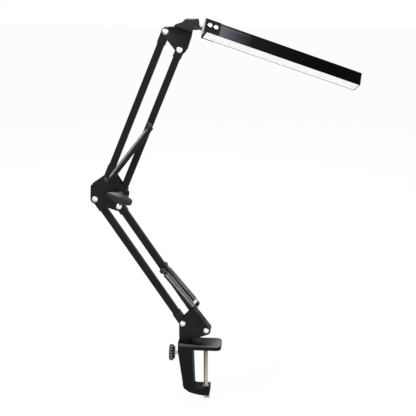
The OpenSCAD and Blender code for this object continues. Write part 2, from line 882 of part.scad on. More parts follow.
module swing_pin() {
    low = -tongue_t / 2 - ear_gap - swing_head_t;
    top = tongue_t / 2 + ear_gap + plate_sheet + swing_head_t;
    color("#8c8c8a") at_swing() union() {
        translate([0, 0, low]) cylinder(d = swing_pin_d, h = top - low);
        translate([0, 0, low]) cylinder(d = swing_head_d, h = swing_head_t);
        translate([0, 0, top - swing_head_t]) cylinder(d = swing_head_d, h = swing_head_t);
    }
}

module end_plate() {
    ear_z = tongue_t / 2 + ear_gap;
    color("#b4b4b2") difference() {
        union() {
            at_head() along(0, plate_sheet) circle(d = plate_share * head_w);
            at_swing() translate([0, 0, ear_z]) cylinder(r = tongue_r, h = plate_sheet);
            at_swing() translate([0, -tongue_r, ear_z])
                cube([plate_x + plate_sheet, 2 * tongue_r, plate_sheet]);
        }
        at_swing() translate([0, 0, -head_w]) cylinder(d = swing_pin_d, h = 2 * head_w);
        at_head() along(-over, 2 * over + plate_sheet) circle(d = roll_pin_d);
    }
}

head_x = plate_sheet + gap;
housing_x = head_x + left_cap_t;
housing_end = head_len - right_cap_t;
inner_w = head_w - 2 * head_wall;

module roll_rivet() {
    color("#8c8c8a") at_head() union() {
        along(0, housing_x + gap + roll_head_t) circle(d = roll_pin_d);
        along(housing_x + gap, housing_x + gap + roll_head_t) circle(d = roll_head_d);
    }
}

// Head
module head_housing() {
    top_h = head_w / 2 - head_wall - shelf_z - shelf_t;
    low_h = shelf_z + head_w / 2;
    color("#101011") at_head() difference() {
        along(housing_x, housing_end) polygon(outline(square_of(head_w, head_w, housing_r)));
        translate([housing_x - over, -inner_w / 2, shelf_z + shelf_t])
            cube([head_len, inner_w, top_h]);
        translate([housing_x - over, -inner_w / 2, shelf_z - low_h - over])
            cube([head_len, inner_w, low_h + over]);
        both_sides() translate([housing_x - over, head_w / 2 - groove_depth, groove_z])
            cube([head_len, head_wall, groove_w]);
        for (x = screw_places) translate([x, 0, screw_rise]) across(cover_screw_d, -head_w, 0);
        translate([cover_len + grommet_gap, 0, 0]) across(grommet_neck_d, 0, head_w);
    }
}

module sleeve_cover() {
    w = head_w + 2 * cover_t;
    slant = [
        [head_x - hood, -w / 2],
        [head_x, w / 2],
        [head_x, w / 2 + over],
        [head_x - hood - over, w / 2 + over],
        [head_x - hood - over, -w / 2]
    ];
    color("#161617") at_head() difference() {
        along(head_x - hood, cover_len) polygon(outline(square_of(w, w, housing_r + cover_t)));
        along(head_x - hood - over, cover_len + over) polygon(outline(square_of(head_w, head_w, housing_r)));
        translate([head_x - hood - over, -head_w, -head_w - head_w / 2])
            cube([head_len, 2 * head_w, head_w]);
        translate([0, 0, -head_w]) linear_extrude(height = 2 * head_w) polygon(slant);
        for (x = screw_places) translate([x, 0, screw_rise]) across(cover_screw_d, -head_w, 0);
    }
}

module cover_screws() {
    face = -head_w / 2 - cover_t;
    dome_r = (cover_head_d * cover_head_d / 4 + cover_head_t * cover_head_t) / (2 * cover_head_t);
    color("#d8d8d6") at_head() for (x = screw_places) translate([x, 0, screw_rise]) union() {
        across(cover_screw_d, face - cover_head_t / 2, face + cover_screw_in);
        intersection() {
            across(cover_head_d, face - cover_head_t, face);
            translate([0, face - cover_head_t + dome_r, 0]) sphere(r = dome_r);
        }
    }
}

module plug(x0, x1)
    translate([x0, -inner_w / 2, shelf_z + shelf_t])
        cube([x1 - x0, inner_w, head_w / 2 - head_wall - shelf_z - shelf_t]);

module left_end_cap() {
    color("#121213") at_head() difference() {
        union() {
            along(head_x, housing_x) polygon(outline(square_of(head_w, head_w, housing_r)));
            plug(head_x, housing_x + plug_len);
        }
        along(0, head_len) circle(d = roll_pin_d + 2 * run);
    }
}

module right_end_cap() {
    color("#121213") at_head() union() {
        along(housing_end, head_len) polygon(outline(square_of(head_w, head_w, housing_r)));
        plug(housing_end - plug_len, head_len - right_cap_t / 2);
    }
}

module led_board() {
    color("#f0f0ea") at_head() translate([housing_x + board_end, -board_w / 2, shelf_z - board_t])
        cube([housing_end - housing_x - 2 * board_end, board_w, board_t]);
}

module led_chips() {
    first = housing_x + chip_margin;
    step = (housing_end - chip_margin - chip_len - first) / (chips - 1);
    color("#f4e6a0") at_head() for (i = [0:chips - 1])
        translate([first + i * step, -chip_w / 2, shelf_z - board_t - chip_t])
            cube([chip_len, chip_w, chip_t]);
}

module diffuser() {
    color("#fbfbf8") at_head() translate([housing_x, -inner_w / 2, -head_w / 2])
        cube([housing_end - housing_x, inner_w, diffuser_t]);
}

module cord_grommet() {
    face = head_w / 2;
    color("#1a1a1a") at_head() translate([cover_len + grommet_gap, 0, 0]) difference() {
        union() {
            across(grommet_neck_d, face - head_wall - grommet_lip, face + grommet_lip);
            across(grommet_d, face, face + grommet_lip);
            across(grommet_d, face - head_wall - grommet_lip, face - head_wall);
        }
        across(grommet_hole_d, 0, head_w);
    }
}

clamp_frame();
post_bush();
threaded_bush();
clamp_screw();
pressure_pad();
tommy_bar();
tommy_caps();
lock_stud();
lock_knob();
base_post();
base_bracket();
base_pins();
base_pin_caps();
base_spring_studs();
lower_spring_near();
lower_spring_far();
lower_left_tube();
lower_left_sleeves();
lower_right_tube();
lower_right_sleeves();
lower_anchor_pin();
elbow_near_plate();
elbow_far_plate();
elbow_pins();
elbow_pin_caps();
elbow_spring_pin();
knob_bolt();
wing_knob();
knob_insert();
upper_spring_near();
upper_spring_far();
upper_left_tube();
upper_left_sleeves();
upper_right_tube();
upper_right_sleeves();
upper_anchor_pin();
head_bracket();
head_pins();
head_pin_caps();
tilt_pin();
knuckle();
swing_pin();
end_plate();
roll_rivet();
head_housing();
sleeve_cover();
cover_screws();
left_end_cap();
right_end_cap();
led_board();
led_chips();
diffuser();
cord_grommet();
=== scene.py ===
# %% [markdown]
# # A swing-arm clamp lamp, dressed in Blender
# The lamp comes as plain solids, one node for each separate piece, in their places and tied to the bodies
# that move. This lesson gives them soft edges, a real thread, wound springs and procedural finishes, and
# lights them as a product photograph does. The solids stay where they are: a new piece takes the place of
# one of them and rides on the same body.

# %% Load the solids
import json
import math

import bpy
from mathutils import Matrix, Vector


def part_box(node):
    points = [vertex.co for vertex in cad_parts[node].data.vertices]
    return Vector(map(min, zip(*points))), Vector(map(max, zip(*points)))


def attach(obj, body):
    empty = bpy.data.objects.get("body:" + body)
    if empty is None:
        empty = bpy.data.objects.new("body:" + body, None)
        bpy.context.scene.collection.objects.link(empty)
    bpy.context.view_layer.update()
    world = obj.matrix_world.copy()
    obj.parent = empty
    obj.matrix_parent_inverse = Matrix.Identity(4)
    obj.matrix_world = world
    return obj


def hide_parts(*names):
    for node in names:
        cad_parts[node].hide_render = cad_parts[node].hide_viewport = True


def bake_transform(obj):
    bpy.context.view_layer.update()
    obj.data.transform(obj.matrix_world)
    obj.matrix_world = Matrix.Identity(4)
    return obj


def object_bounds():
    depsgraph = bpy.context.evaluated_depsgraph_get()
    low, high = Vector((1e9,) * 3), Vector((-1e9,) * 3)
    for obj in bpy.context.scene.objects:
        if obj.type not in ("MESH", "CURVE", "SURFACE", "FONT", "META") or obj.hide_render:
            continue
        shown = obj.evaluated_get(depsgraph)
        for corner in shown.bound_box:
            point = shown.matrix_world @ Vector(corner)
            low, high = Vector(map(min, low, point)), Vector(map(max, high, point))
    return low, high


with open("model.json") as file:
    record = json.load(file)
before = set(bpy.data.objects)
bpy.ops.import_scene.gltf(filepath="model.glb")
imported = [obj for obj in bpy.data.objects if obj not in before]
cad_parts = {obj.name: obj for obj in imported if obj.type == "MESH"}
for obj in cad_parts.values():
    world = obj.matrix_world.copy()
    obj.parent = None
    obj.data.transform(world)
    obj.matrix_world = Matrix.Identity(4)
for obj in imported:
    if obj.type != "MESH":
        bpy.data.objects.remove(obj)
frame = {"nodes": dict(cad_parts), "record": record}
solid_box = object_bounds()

nodes = frame["nodes"]
MM = 0.001
print("solids:", len(nodes), "box:", [tuple(round(v, 4) for v in corner) for corner in solid_box])

# %% [markdown]
# ## Camera
# A lamp this size is photographed from over a metre away with a long lens. A near camera with a short
# lens would frame it too, but perspective would make its near end look too large. So the camera stands
# 1.3 m off, 5 degrees to the right and 15 degrees up, and looks at the middle of the picture.

# %% Camera
look_at = Vector((0.003, 0, 0.1927))
turn, rise, distance = math.radians(5), math.radians(15), 1.3
back = Vector((math.sin(turn) * math.cos(rise), -math.cos(turn) * math.cos(rise), math.sin(rise)))
bpy.ops.object.select_all(action="DESELECT")
bpy.ops.object.camera_add(location=look_at + back * distance)
camera = bpy.context.object
camera.rotation_mode = "QUATERNION"
camera.rotation_quaternion = (-back).to_track_quat("-Z", "Y")
camera.data.sensor_width = 36
camera.data.lens = 86.9
camera.data.clip_end = 20
bpy.context.scene.camera = camera
print("camera at", [round(v, 3) for v in camera.location])

# %% [markdown]
# ## Light
# Black pieces on a white ground show their shape only through highlights. A picture of a studio round the
# lamp would give them too, but area lamps are easier to place and to dim one by one. A large soft one
# high on the left draws a line along every rounded edge, a weaker one on the right opens the shadows, a
# low one in front reaches under the head, and one behind parts the lamp from its ground.

# %% Lamps
def soft_lamp(name, place, watts, size):
    bpy.ops.object.light_add(type="AREA", location=place)
    lamp = bpy.context.object
    lamp.name = name
    lamp.data.energy = watts
    lamp.data.size = size
    lamp.rotation_mode = "QUATERNION"
    lamp.rotation_quaternion = (look_at - Vector(place)).to_track_quat("-Z", "Y")


soft_lamp("key_lamp", (-1.1, -0.9, 1.4), 22, 0.5)
soft_lamp("fill_lamp", (1.5, -1.0, 0.9), 9, 1.0)
soft_lamp("front_lamp", (0.4, -1.7, 0.1), 6, 0.8)
soft_lamp("rim_lamp", (-0.2, 1.5, 1.2), 10, 0.7)
bpy.context.scene.view_settings.view_transform = "Standard"

# %% [markdown]
# ## A small language for shader maths
# A procedural finish is a formula over the surface. It could be wired node by node, but a sum in Python
# is easier to read. So one small class holds a socket, and each of its operators adds the Math node that
# does the sum.

# %% Shader maths
class Wave:
    """A value that varies over a surface: the output socket of a shader node."""

    def __init__(self, book, socket):
        self.book = book
        self.socket = socket

    def sum(self, operation, *terms):
        return self.book.node("ShaderNodeMath", {"operation": operation}, dict(enumerate(terms)))

    def __add__(self, other):
        return self.sum("ADD", self, other)

    def __radd__(self, other):
        return self.sum("ADD", other, self)

    def __sub__(self, other):
        return self.sum("SUBTRACT", self, other)

    def __rsub__(self, other):
        return self.sum("SUBTRACT", other, self)

    def __mul__(self, other):
        return self.sum("MULTIPLY", self, other)

    def __rmul__(self, other):
        return self.sum("MULTIPLY", other, self)

    def __truediv__(self, other):
        return self.sum("DIVIDE", self, other)

    def clamped(self):
        capped = self.sum("MINIMUM", self, 1.0)
        return capped.sum("MAXIMUM", capped, 0.0)


print("operators ready")

# %% [markdown]
# Every node comes from one method, which takes the node's type, its settings and what goes into its
# sockets. The book of nodes serves the world as well as the finishes. A finish adds the few words that
# this lamp's surfaces need: noise, a ramp along a direction, a distance from an axis, a blend of two
# colours, and bump.

# %% Books of nodes
class Book:
    """A node tree, with one way to add a node and one to feed a socket."""

    def __init__(self, tree):
        self.tree = tree

    def node(self, kind, settings=None, inputs=None, output=0):
        made = self.tree.nodes.new(kind)
        for key, value in (settings or {}).items():
            if key == "stops":
                ramp = made.color_ramp
                while len(ramp.elements) < len(value):
                    ramp.elements.new(0.5)
                for element, (position, shade) in zip(ramp.elements, value):
                    element.position = position
                    element.color = (*shade, 1)
            else:
                setattr(made, key, value)
        for key, value in (inputs or {}).items():
            self.feed(made.inputs[key], value)
        return Wave(self, made.outputs[output])

    def feed(self, socket, value):
        if isinstance(value, Wave):
            self.tree.links.new(value.socket, socket)
        elif isinstance(value, tuple) and len(value) == 3 and socket.type == "RGBA":
            socket.default_value = (*value, 1)
        else:
            socket.default_value = value

    def vector(self, operation, first, second, output=0):
        return self.node("ShaderNodeVectorMath", {"operation": operation}, {0: first, 1: second}, output)


class Finish(Book):
    """The nodes of one material."""

    def __init__(self, name):
        self.material = bpy.data.materials.new(name)
        self.material.use_nodes = True
        super().__init__(self.material.node_tree)
        self.shader = self.tree.nodes["Principled BSDF"]
        self.place = self.node("ShaderNodeTexCoord", output="Object")

    def set(self, **values):
        for key, value in values.items():
            self.feed(self.shader.inputs[key.replace("_", " ").title().replace("Ior", "IOR")], value)

    def noise(self, per_metre, detail=4.0, rough=0.5, stretch=None, drawn=None):
        """Noise, squeezed by three factors or drawn out ten times along a direction."""
        place = self.place
        if stretch:
            place = self.vector("MULTIPLY", place, stretch)
        if drawn:
            way = self.vector("DOT_PRODUCT", place, tuple(drawn), "Value")
            taken = self.node("ShaderNodeVectorMath", {"operation": "SCALE"},
                              {0: tuple(drawn), "Scale": way * 0.9})
            place = self.vector("SUBTRACT", place, taken)
        return self.node("ShaderNodeTexNoise", {"noise_dimensions": "3D"},
                         {"Vector": place, "Scale": per_metre, "Detail": detail, "Roughness": rough})

    def along(self, direction, start, length):
        """0 at start and 1 at start + length, measured along a direction in the object's frame."""
        way = self.vector("DOT_PRODUCT", self.place, tuple(direction), "Value")
        return ((way - start) / length).clamped()

    def radius(self, centre, mask):
        """Distance from centre, not counting the directions where the mask is 0."""
        off = self.vector("MULTIPLY", self.vector("SUBTRACT", self.place, centre), mask)
        return self.node("ShaderNodeVectorMath", {"operation": "LENGTH"}, {0: off}, "Value")

    def blend(self, share, low, high):
        """A colour between two colours."""
        return self.node("ShaderNodeMix", {"data_type": "RGBA"}, {0: share, 6: low, 7: high}, 2)

    def bump(self, height, strength, depth):
        return self.node("ShaderNodeBump", None, {"Height": height, "Strength": strength, "Distance": depth})


print("shader words ready")

# %% [markdown]
# ## World and floor
# The lamp stands in a white room. A strong white world would burn out its pale pieces, so the world is
# white only where it is seen, by the camera, in a reflection or through glass, and half as strong as a
# source of light. The floor does the same, and keeps a little of the lamp's shadow. Light Path tells the
# rays apart.

# %% World and floor
def seen_share(book):
    """1 on the rays that show a thing: straight to the camera, mirrored or through glass."""
    camera_ray = book.node("ShaderNodeLightPath", output="Is Camera Ray")
    mirror_ray = book.node("ShaderNodeLightPath", output="Is Glossy Ray")
    glass_ray = book.node("ShaderNodeLightPath", output="Is Transmission Ray")
    return (camera_ray + mirror_ray + glass_ray).clamped()


world = bpy.data.worlds.new("studio")
bpy.context.scene.world = world
world.use_nodes = True
sky = Book(world.node_tree)
room = sky.tree.nodes["Background"]
light_level = 0.55
sky.feed(room.inputs["Color"], (1, 1, 1))
sky.feed(room.inputs["Strength"], seen_share(sky) * (1 - light_level) + light_level)

floor_below, floor_size = 0.0012, 12
bpy.ops.object.select_all(action="DESELECT")
bpy.ops.mesh.primitive_plane_add(size=floor_size, location=(0, 0, solid_box[0][2] - floor_below))
floor = bpy.context.object
floor.name = "studio_floor"
paper = Finish("floor_paper")
paper.set(base_color=(0.9, 0.9, 0.9), roughness=0.9, normal=paper.bump(paper.noise(180, 3), 0.05, 0.0004))
glow = paper.node("ShaderNodeEmission", None, {"Color": (1, 1, 1)})
lit_paper = Wave(paper, paper.shader.outputs[0])
mixed = paper.node("ShaderNodeMixShader", None, {0: seen_share(paper) * 0.94, 1: lit_paper, 2: glow})
paper.feed(paper.tree.nodes["Material Output"].inputs["Surface"], mixed)
floor.data.materials.append(paper.material)
print("floor at", round(floor.location.z, 4))

# %% [markdown]
# ## The head's direction
# The head hangs at an angle to all three axes: it is tilted down, swung towards the viewer and rolled
# about its length. Its finishes run along it. A Mapping node could turn their patterns, but plain
# directions serve every ramp and noise alike, so the three turns are worked out once here: along the
# head, up across its front face, and through it to the back.

# %% The head's direction
tilt, swing, roll = math.radians(20.2), math.radians(14.7), math.radians(38)
head_turn = Matrix.Rotation(tilt, 3, "Y") @ Matrix.Rotation(swing, 3, "Z") @ Matrix.Rotation(-roll, 3, "X")
head_way = head_turn @ Vector((1, 0, 0))
head_up = head_turn @ Vector((0, 0, 1))
head_back = head_turn @ Vector((0, 1, 0))
head_start = Vector((-0.002717, 0.00099, 0.42277))
start, start_up, start_back = (head_start.dot(way) for way in (head_way, head_up, head_back))
print("head starts", round(start, 4), "m along its own way")

# %% [markdown]
# ## Powder coat on brackets and tubes
# The folded brackets, the elbow plates and the square tubes wear black powder coat with a very fine
# orange-peel skin. One flat black would do from afar, but close to it looks like card. The colour of the
# real coat hardly varies, so the skin is bump, and a slow cloud changes the roughness and adds a little
# dust.

# %% Powder coat
dust = 0.006


def orange_peel(coat, per_metre):
    coat.set(normal=coat.bump(coat.noise(per_metre, 2), 0.18, 0.0003))


def powder_coat(name, shade, rough, per_metre, specular):
    coat = Finish(name)
    cloud = coat.noise(35, 5, 0.6)
    dusty = tuple(c + dust for c in shade)
    coat.set(base_color=coat.blend(cloud, shade, dusty))
    coat.set(roughness=cloud * 0.12 + rough, specular_ior_level=specular)
    orange_peel(coat, per_metre)
    return coat


bracket_coat = powder_coat("bracket_coat", (0.006, 0.006, 0.0065), 0.34, 1500, 0.08)
tube_coat = powder_coat("tube_coat", (0.008, 0.008, 0.0085), 0.42, 1300, 0.05)
print("coats:", bracket_coat.material.name, tube_coat.material.name)

# %% [markdown]
# ## The head's cover
# The cover is a square sleeve of thin sheet. A painted highlight lies on the cut edge at its left end, as
# grey in the colour. A second material on that edge would need its faces picked out. A short ramp along the
# head does it for any shape of end: everything before it is the painted grey highlight, everything after it
# is black.

# %% Cover coat
cover_coat = Finish("cover_coat")
cloud = cover_coat.noise(70, 4)
edge_light_before, edge_light_fade = start - 0.0013, 0.0003
# painted highlight: the cut edge at the cover's left end is grey
painted_edge_light = 1 - cover_coat.along(head_way, edge_light_before, edge_light_fade)
black = cover_coat.blend(cloud, (0.005, 0.005, 0.0055), (0.012, 0.012, 0.0125))
cover_coat.set(base_color=cover_coat.blend(painted_edge_light, black, (0.42, 0.42, 0.42)))
cover_coat.set(roughness=0.5 + cloud * 0.1, specular_ior_level=0.13)
orange_peel(cover_coat, 2200)
print("cover is bare up to", round(edge_light_before, 4), "m along the head")

# %% [markdown]
# ## The clamp's casting
# The clamp is cast iron under the same coat, with a coarser skin. A painted highlight brightens its top
# towards its right end, painted shade keeps the rest of the top darker than the sides, and a painted
# highlight draws a thin grey line along its near edge. A lamp placed for that one highlight would light
# everything else too. So the gradient and the line are painted into the colour, on the top face alone.

# %% Clamp coat
clamp_coat = Finish("clamp_coat")
cloud = clamp_coat.noise(30, 4)
shine_from, shine_long = -0.008, 0.026
top_from, top_fade = 0.0045, 0.0015
edge_from, edge_fade = 0.0134, 0.0006
right = clamp_coat.along((1, 0, 0), shine_from, shine_long)
on_top = clamp_coat.along((0, 0, 1), top_from, top_fade)
near_edge = clamp_coat.along((0, -1, 0), edge_from, edge_fade)
# painted shade: the top face is darker than the sides
shaded_iron = clamp_coat.blend(on_top, (0.009, 0.009, 0.0095), (0.0035, 0.0035, 0.004))
# painted highlight: the top brightens towards its right end
shine = clamp_coat.blend(right * right * on_top, shaded_iron, (0.17, 0.17, 0.172))
# painted highlight: a thin grey line along the top's near edge, brighter to the right
edge_highlight = on_top * near_edge * (0.35 + right * 0.65)
clamp_coat.set(base_color=clamp_coat.blend(edge_highlight, shine, (0.17, 0.17, 0.17)))
clamp_coat.set(roughness=0.55 + cloud * 0.08, specular_ior_level=0.03)
clamp_coat.set(normal=clamp_coat.bump(clamp_coat.noise(220, 5, 0.65), 0.12, 0.0006))
print("clamp's top brightens up to", round(shine_from + shine_long, 4), "m to the right")

# %% [markdown]
# ## The head bracket
# The bracket at the top of the arms is one folded sheet: two cheeks, and a neck that leans towards the
# head. The neck faces the light, and a painted highlight makes it dark grey. Below its fold lies a narrow
# painted shadow, and painted shade darkens the cheek to the right. Ambient occlusion would darken every
# other corner as well. The fold's line is known from the bracket's outline, so two ramps across it and
# one along X paint this light and shade.

# %% Head bracket coat
head_bracket_coat = Finish("head_bracket_coat")
below_fold = Vector((-0.302, 0, -0.953))
fold = Vector((-0.0294, 0, 0.4231)).dot(below_fold)
fold_wide, shadow_from, shadow_long = 0.0008, 0.001, 0.009
cheek_from, cheek_long = -0.05, 0.035
on_neck = 1 - head_bracket_coat.along(below_fold, fold - fold_wide / 2, fold_wide)
out_of_shadow = head_bracket_coat.along(below_fold, fold + shadow_from, shadow_long)
to_right = head_bracket_coat.along((1, 0, 0), cheek_from, cheek_long)
# painted shade: the cheek darkens towards the right
cheek = head_bracket_coat.blend(to_right, (0.02, 0.02, 0.0205), (0.006, 0.006, 0.0063))
# painted shadow below the fold
cheek = head_bracket_coat.blend(out_of_shadow, (0.0012, 0.0012, 0.0014), cheek)
# painted highlight: the neck is lighter where it faces the light
head_bracket_coat.set(base_color=head_bracket_coat.blend(on_neck, cheek, (0.024, 0.024, 0.0245)))
head_bracket_coat.set(roughness=head_bracket_coat.noise(35, 5, 0.6) * 0.1 + 0.4, specular_ior_level=0.06)
orange_peel(head_bracket_coat, 1500)
print("fold at", round(fold, 4), "m along its own normal")

# %% [markdown]
# ## Plastics and rubber
# Moulded plastic keeps the fine grain of its mould, and rubber a coarser, duller one. A picture of grain
# would repeat and show its seams, so both are noise: a slow one for the colour and a fast one for the
# grain. The tube ends, caps and plugs, the pad and the grommet differ only in shade, roughness and grain
# size.

# %% Plastics and rubber
def grained(name, rough, per_metre, depth, specular):
    plastic = Finish(name)
    grain = plastic.noise(per_metre, 3, 0.7)
    plastic.set(roughness=rough + grain * 0.12, specular_ior_level=specular)
    plastic.set(normal=plastic.bump(grain, 0.3, depth))
    return plastic


def moulded(name, low, high, rough, per_metre, depth, specular=0.15):
    plastic = grained(name, rough, per_metre, depth, specular)
    plastic.set(base_color=plastic.blend(plastic.noise(60, 4), low, high))
    return plastic


sleeve_plastic = moulded("sleeve_plastic", (0.005, 0.005, 0.0055), (0.009, 0.009, 0.0095), 0.42, 1800, 0.0002)
cap_plastic = moulded("cap_plastic", (0.005, 0.005, 0.005), (0.009, 0.009, 0.009), 0.45, 1600, 0.0002, 0.08)
pad_rubber = moulded("pad_rubber", (0.012, 0.012, 0.012), (0.022, 0.022, 0.022), 0.65, 900, 0.0004, 0.25)
grommet_rubber = moulded("grommet_rubber", (0.01, 0.01, 0.01), (0.018, 0.018, 0.018), 0.6, 1000, 0.0003, 0.25)
bush_plastic = moulded("bush_plastic", (0.6, 0.58, 0.52), (0.7, 0.68, 0.62), 0.45, 900, 0.0002)
board_mask = moulded("board_mask", (0.8, 0.8, 0.78), (0.86, 0.86, 0.84), 0.35, 700, 0.0001)
chip_phosphor = moulded("chip_phosphor", (0.75, 0.6, 0.12), (0.85, 0.7, 0.2), 0.4, 2500, 0.0001)
print("plastics ready")

# %% [markdown]
# ## The lock knob's ribs
# The little wheel that locks the post has ribs for the fingers, and a painted highlight makes their tips
# pale. Painting them by hand would break when the number of ribs changes. The tips are simply what lies
# farthest from the wheel's axis, so the distance from the axis picks them out.

# %% Lock knob plastic
wheel_plastic = grained("wheel_plastic", 0.4, 1400, 0.0002, 0.15)
wheel_centre, rib_root, tip_fade = (0, 0, -0.01), 0.0102, 0.0005
on_tips = (wheel_plastic.radius(wheel_centre, (0, 1, 1)) - rib_root) / tip_fade
# painted highlight on the rib tips
tip_highlight = wheel_plastic.blend(wheel_plastic.noise(60, 4), (0.12, 0.12, 0.122), (0.2, 0.2, 0.203))
wheel_plastic.set(base_color=wheel_plastic.blend(on_tips.clamped(), (0.008, 0.008, 0.0085), tip_highlight))
print("ribs are pale beyond", rib_root, "m")

# %% [markdown]
# ## Turned metal
# Pins, rods and screws are turned, which leaves fine rings round them. Real grooves would cost thousands
# of faces and be lost at this size. Noise that is squeezed along the axis gives the rings, in roughness
# and in a very shallow bump. On plated and blackened pieces the noise stays even in all directions.

# %% Metals
def turned_metal(name, low, high, rough, marks, stretch, depth=0.00008):
    metal = Finish(name)
    line = metal.noise(marks, 4, 0.6, stretch)
    metal.set(base_color=metal.blend(metal.noise(90, 4), low, high), metallic=1.0)
    metal.set(roughness=rough + line * 0.12, normal=metal.bump(line, 0.25, depth))
    return metal


zinc = turned_metal("zinc", (0.9, 0.9, 0.9), (0.96, 0.96, 0.95), 0.35, 900, (1, 1, 1), 0.00002)
pin_steel = turned_metal("pin_steel", (0.42, 0.42, 0.42), (0.55, 0.55, 0.54), 0.28, 500, (1, 6, 1))
thread_steel = turned_metal("thread_steel", (0.42, 0.37, 0.32), (0.62, 0.56, 0.5), 0.24, 500, (1, 1, 5))
dark_steel = turned_metal("dark_steel", (0.03, 0.03, 0.031), (0.06, 0.06, 0.062), 0.34, 700, (1, 1, 1))
insert_brass = turned_metal("insert_brass", (0.55, 0.4, 0.15), (0.7, 0.53, 0.24), 0.25, 500, (1, 6, 1))
print("metals ready")

# %% [markdown]
# ## Chromed pin caps
# Each pivot ends in two pressed caps, domed and chromed. Their colour holds a painted reflection: grey
# patches laid out as soft swirls, and a grey rim where the steep side would mirror the black plate round it.
# A mirror finish would show the whole studio instead and flicker in so small a piece. The caps all point
# along Y, so the distance from the arms' middle plane tells the rim from the top of the dome.

# %% Pin cap chrome
rim_depth, rim_fade = 0.0013, 0.0005


def chromed_caps(node):
    chrome = Finish(node + "_chrome")
    haze = chrome.noise(900, 3)
    reflection_swirl = ((chrome.noise(330, 2) - 0.35) / 0.3).clamped()
    dome = (chrome.radius((0, 0, 0), (0, 1, 0)) - (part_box(node)[1].y - rim_depth)) / rim_fade
    # painted reflection: grey patches in swirls
    shade = chrome.blend(reflection_swirl, (0.5, 0.5, 0.5), (0.93, 0.93, 0.92))
    # painted reflection: the rim is grey
    chrome.set(base_color=chrome.blend(dome.clamped(), (0.16, 0.16, 0.16), shade), metallic=1.0)
    chrome.set(roughness=0.32 + haze * 0.1, normal=chrome.bump(haze, 0.1, 0.00003))
    return chrome


cap_chrome = {node: chromed_caps(node) for node in ("base_pin_caps", "elbow_pin_caps", "head_pin_caps")}
print("chromed:", list(cap_chrome))

# %% [markdown]
# ## The head's housing
# The housing is an extruded bar, anodised black, with fine lines from the die. Its colour holds a painted
# reflection: a violet-grey sheen close to the cover that dies away along the bar with a long faint end,
# broken up by the die lines. A painted highlight lies as a pale stripe just under its top edge, and above it
# the colour turns darker. A glossy black would mirror the studio and change with every pose. So a ramp
# along the head fades the painted sheen, noise drawn out along the head gives the lines, and two ramps up
# the face make the stripe.

# %% Housing
housing_anodised = Finish("housing_anodised")
sheen_from, sheen_long, sheen_tail_from, sheen_tail_long = start + 0.018, 0.045, start + 0.02, 0.15
fade = 1 - housing_anodised.along(head_way, sheen_from, sheen_long)
sheen_tail = 1 - housing_anodised.along(head_way, sheen_tail_from, sheen_tail_long)
lines = housing_anodised.noise(700, 4, 0.6, drawn=head_way)
# painted reflection: the sheen and its die lines
sheen = fade * (0.3 + lines * 0.5) + fade * fade * fade * 0.45
# painted reflection: the sheen fades slowly along the whole head
black = housing_anodised.blend(sheen_tail * sheen_tail, (0.0012, 0.0012, 0.0015), (0.016, 0.0158, 0.0165))
black = housing_anodised.blend(sheen, black, (0.13, 0.128, 0.15))
stripe_up, stripe_tall, stripe_fade = start_up + 0.0041, 0.0008, 0.0004
over_foot = housing_anodised.along(head_up, stripe_up, stripe_fade)
over_top = housing_anodised.along(head_up, stripe_up + stripe_tall, stripe_fade)
# painted highlight: the pale stripe under the top edge
stripe_highlight = ((over_foot - over_top) * fade * 1.2).clamped()
# the painted sheen gives way to a darker black above the stripe
black = housing_anodised.blend(over_top * 0.45, black, (0.004, 0.004, 0.0045))
housing_anodised.set(base_color=housing_anodised.blend(stripe_highlight, black, (0.2, 0.195, 0.23)))
housing_anodised.set(roughness=0.36 + lines * 0.08, specular_ior_level=0.02)
housing_anodised.set(normal=housing_anodised.bump(housing_anodised.noise(2600, 2, 0.7), 0.08, 0.0001))
print("sheen ends", round(sheen_from + sheen_long, 4), "m along the head")

# %% [markdown]
# ## The diffuser
# The light leaves through a strip of opal plastic. Real opal scatters light inside it, which renders
# slowly and grainy in a strip this thin. A milky surface with a weak painted glow of its own looks the same
# in a bright room. At its back edge, where it slides into the housing's groove, a band of painted shadow
# ends it, and the glow stops there.

# %% Diffuser
opal = Finish("opal_diffuser")
frost = opal.noise(1200, 3)
milk = opal.blend(opal.noise(40, 3), (0.76, 0.76, 0.77), (0.82, 0.82, 0.82))
gap_shadow_in, gap_shadow_fade = 0.0073, 0.0002
gap_shadow = opal.along(head_back, start_back + gap_shadow_in, gap_shadow_fade)
# painted shadow: a dark band at the back edge, where the strip meets the housing
opal.set(base_color=opal.blend(gap_shadow, milk, (0.02, 0.02, 0.02)), roughness=0.5 + frost * 0.1)
opal.set(normal=opal.bump(frost, 0.1, 0.0001), specular_ior_level=0.3)
opal.set(emission_color=opal.blend(gap_shadow, (1.0, 1.0, 1.0), (0.0, 0.0, 0.0)), emission_strength=0.1)
print("gap_shadow", gap_shadow_in, "m behind the head's front edge")

# %% [markdown]
# ## Soft edges
# Nothing real has a knife edge: sheet steel is tumbled, castings are coated and mouldings have radii. The
# bright line on such an edge is what makes a black piece readable. A Bevel node in the material is cheap,
# but it leaves the mesh and its outline sharp. So a copy of each solid is merged, its flat faces are
# joined, and a bevel a few tenths of a millimetre wide is put on every edge sharper than 35 degrees.

# %% Helpers for pieces
body_of_node = {n: b for b, group in frame["record"]["behaviour"]["bodies"].items() for n in group}


def only(piece):
    bpy.ops.object.select_all(action="DESELECT")
    piece.select_set(True)
    bpy.context.view_layer.objects.active = piece


def stand_for(piece, node, finish):
    """The piece takes the solid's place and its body."""
    piece.data.materials.clear()
    piece.data.materials.append(finish.material)
    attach(piece, body_of_node[node])
    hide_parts(node)
    return piece


print("bodies:", len(set(body_of_node.values())))

# %% Soft edges
same_point, same_face = 2e-6, math.radians(0.5)
sharp_edge, smooth_under = math.radians(35), math.radians(32)


